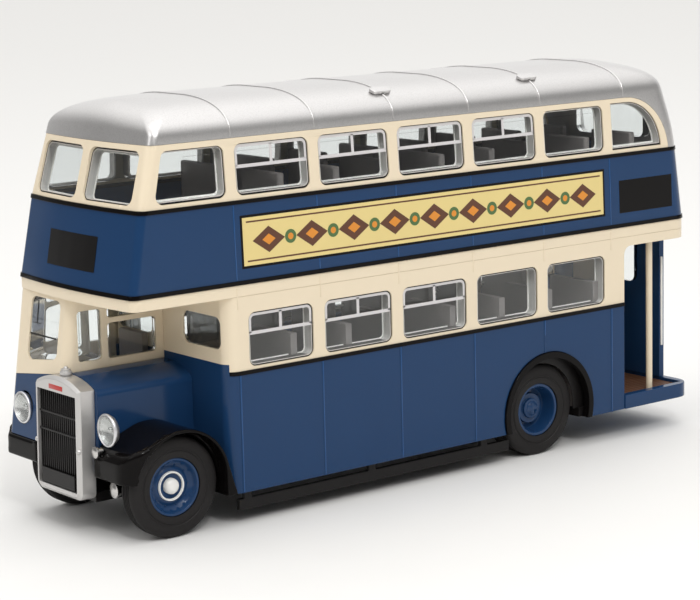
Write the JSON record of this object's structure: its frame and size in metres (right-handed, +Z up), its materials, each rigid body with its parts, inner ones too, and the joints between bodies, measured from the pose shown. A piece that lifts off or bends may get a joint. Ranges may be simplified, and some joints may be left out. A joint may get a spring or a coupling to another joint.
{
  "type": "scale model of a half-cab double deck bus",
  "caption": "Small die-cast scale model of a half-cab double deck bus with an open rear platform, hollow glazed decks and free-rolling wheels.",
  "frame": {"origin": "on the ground under the middle of the model's box", "axes": "+X forward to the radiator, +Y to the kerb side with the open platform, +Z up"},
  "size_m": [0.1078, 0.0298, 0.0583],
  "materials": {
    "blue_paint": "gloss",
    "cream_paint": "gloss",
    "black_paint": "gloss",
    "silver_paint": "satin",
    "bright_plating": "satin",
    "black_plastic": "satin",
    "clear_plastic": "polished",
    "seat_plastic": "matte",
    "brown_plastic": "matte",
    "axle_steel": "satin",
    "hub_blue": "gloss",
    "hub_white": "gloss",
    "tyre_rubber": "matte"
  },
  "bodies": {
    "bus_body": {"lower_panels": "blue_paint", "lower_window_band": "cream_paint", "cab_panels": "blue_paint", "cab_window_frame": "cream_paint", "upper_floor": "cream_paint", "beading": "black_paint", "upper_belt": "blue_paint", "upper_window_band": "cream_paint", "roof": "silver_paint", "roof_vents": "silver_paint", "bonnet": "blue_paint", "radiator_shell": "bright_plating", "radiator_grille": "black_plastic", "filler_cap": "bright_plating", "number_plate": "black_plastic", "front_wings": "black_paint", "rear_arch_lips": "black_paint", "headlamps": "bright_plating", "small_lamps": "bright_plating", "lower_glazing": "clear_plastic", "cab_glazing": "clear_plastic", "upper_glazing": "clear_plastic", "lower_seats_kerb": "seat_plastic", "lower_seats_off": "seat_plastic", "upper_seats": "seat_plastic", "cab_interior": "seat_plastic", "saloon_partition": "cream_paint", "platform_step": "blue_paint", "platform_floor": "brown_plastic", "platform_pole": "cream_paint", "chassis_base": "black_plastic", "side_rails": "black_plastic"},
    "front_wheels": {"front_axle": "axle_steel", "front_hubs": "hub_blue", "front_hub_caps": "hub_white", "front_tyres": "tyre_rubber"},
    "rear_wheels": {"rear_axle": "axle_steel", "rear_hubs": "hub_blue", "rear_tyres": "tyre_rubber"}
  },
  "joints": [
    {"name": "front_roll", "type": "hinge", "parent": "bus_body", "child": "front_wheels", "pos_m": [0.0438, 0, 0.00695], "axis": [0, 1, 0], "continuous": true},
    {"name": "rear_roll", "type": "hinge", "parent": "bus_body", "child": "rear_wheels", "pos_m": [-0.0221, 0, 0.00695], "axis": [0, 1, 0], "continuous": true}
  ]
}
